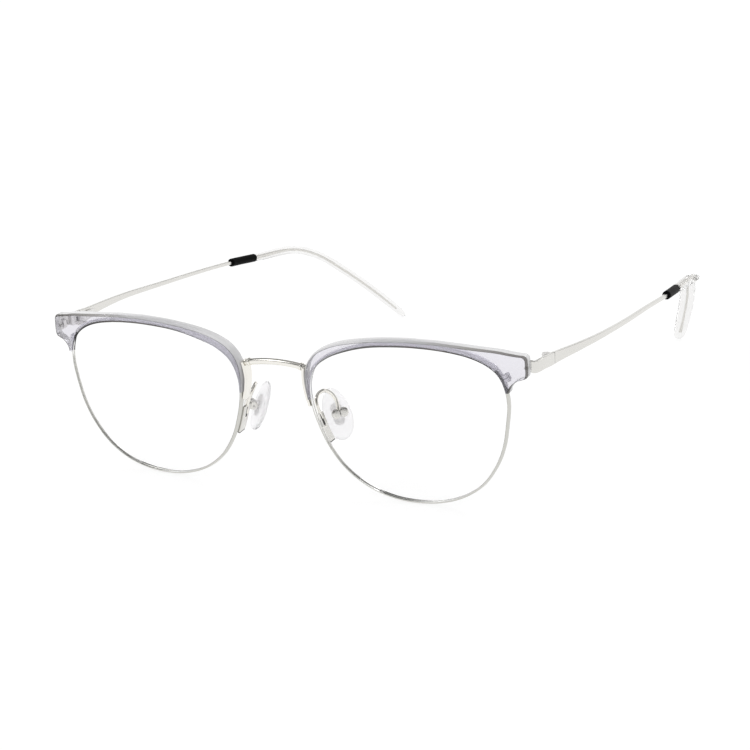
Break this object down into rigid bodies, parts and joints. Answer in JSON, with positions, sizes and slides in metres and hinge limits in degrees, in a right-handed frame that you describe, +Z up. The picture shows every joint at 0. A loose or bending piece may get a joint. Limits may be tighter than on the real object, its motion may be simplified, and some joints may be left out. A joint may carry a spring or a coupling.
{
  "type": "browline glasses",
  "caption": "Browline glasses with clear acetate brows over thin metal rims, a wire bridge, rocking nose pads and folding metal temples with clear tips.",
  "frame": {"origin": "middle of the footprint, on the surface that the open glasses stand on with both rims and both temple tips", "axes": "+X to the wearer's left, +Y back along the open temples, +Z up; the front faces -Y"},
  "size_m": [0.1328, 0.1448, 0.0404],
  "materials": {
    "frame_metal": "polished silver-tone plating",
    "screw_metal": "turned steel",
    "crystal_acetate": "polished clear acetate",
    "clear_tip": "polished clear acetate",
    "pad_silicone": "smooth clear silicone",
    "black_sleeve": "smooth black",
    "lens": "clear polished demo lens"
  },
  "bodies": {
    "front": {"bridge": "frame_metal", "rim_left": "frame_metal", "rim_right": "frame_metal", "lens_left": "lens", "lens_right": "lens", "brow_left": "crystal_acetate", "brow_right": "crystal_acetate", "pad_arm_left": "frame_metal", "pad_arm_right": "frame_metal", "pad_box_left": "frame_metal", "pad_box_right": "frame_metal", "pad_screw_left": "screw_metal", "pad_screw_right": "screw_metal", "endpiece_left": "frame_metal", "endpiece_right": "frame_metal", "rim_block_left": "frame_metal", "rim_block_right": "frame_metal", "rim_lock_left": "frame_metal", "rim_lock_right": "frame_metal", "lock_screw_left": "screw_metal", "lock_screw_right": "screw_metal", "brow_screw_left": "screw_metal", "brow_screw_right": "screw_metal", "front_hinge_left": "frame_metal", "front_hinge_right": "frame_metal", "hinge_screw_left": "screw_metal", "hinge_screw_right": "screw_metal"},
    "temple_left_body": {"temple_left": "frame_metal", "temple_hinge_left": "frame_metal", "sleeve_left": "black_sleeve", "tip_left": "clear_tip"},
    "temple_right_body": {"temple_right": "frame_metal", "temple_hinge_right": "frame_metal", "sleeve_right": "black_sleeve", "tip_right": "clear_tip"},
    "pad_left_body": {"nose_pad_left": "pad_silicone", "pad_insert_left": "frame_metal"},
    "pad_right_body": {"nose_pad_right": "pad_silicone", "pad_insert_right": "frame_metal"}
  },
  "joints": [
    {"name": "temple_left_fold", "type": "hinge", "parent": "front", "child": "temple_left_body", "pos_m": [0.06289, -0.05637, 0.03404], "axis": [0, 0.0611, 0.9981], "range_deg": [0, 84]},
    {"name": "temple_right_fold", "type": "hinge", "parent": "front", "child": "temple_right_body", "pos_m": [-0.06289, -0.05637, 0.03404], "axis": [0, -0.0611, -0.9981], "range_deg": [0, 73]},
    {"name": "pad_left_rock", "type": "hinge", "parent": "front", "child": "pad_left_body", "pos_m": [0.01182, -0.06201, 0.01791], "axis": [0.6924, 0.7062, 0.1482], "range_deg": [-8, 8]},
    {"name": "pad_right_rock", "type": "hinge", "parent": "front", "child": "pad_right_body", "pos_m": [-0.01182, -0.06201, 0.01791], "axis": [0.6924, -0.7062, -0.1482], "range_deg": [-8, 8]}
  ]
}
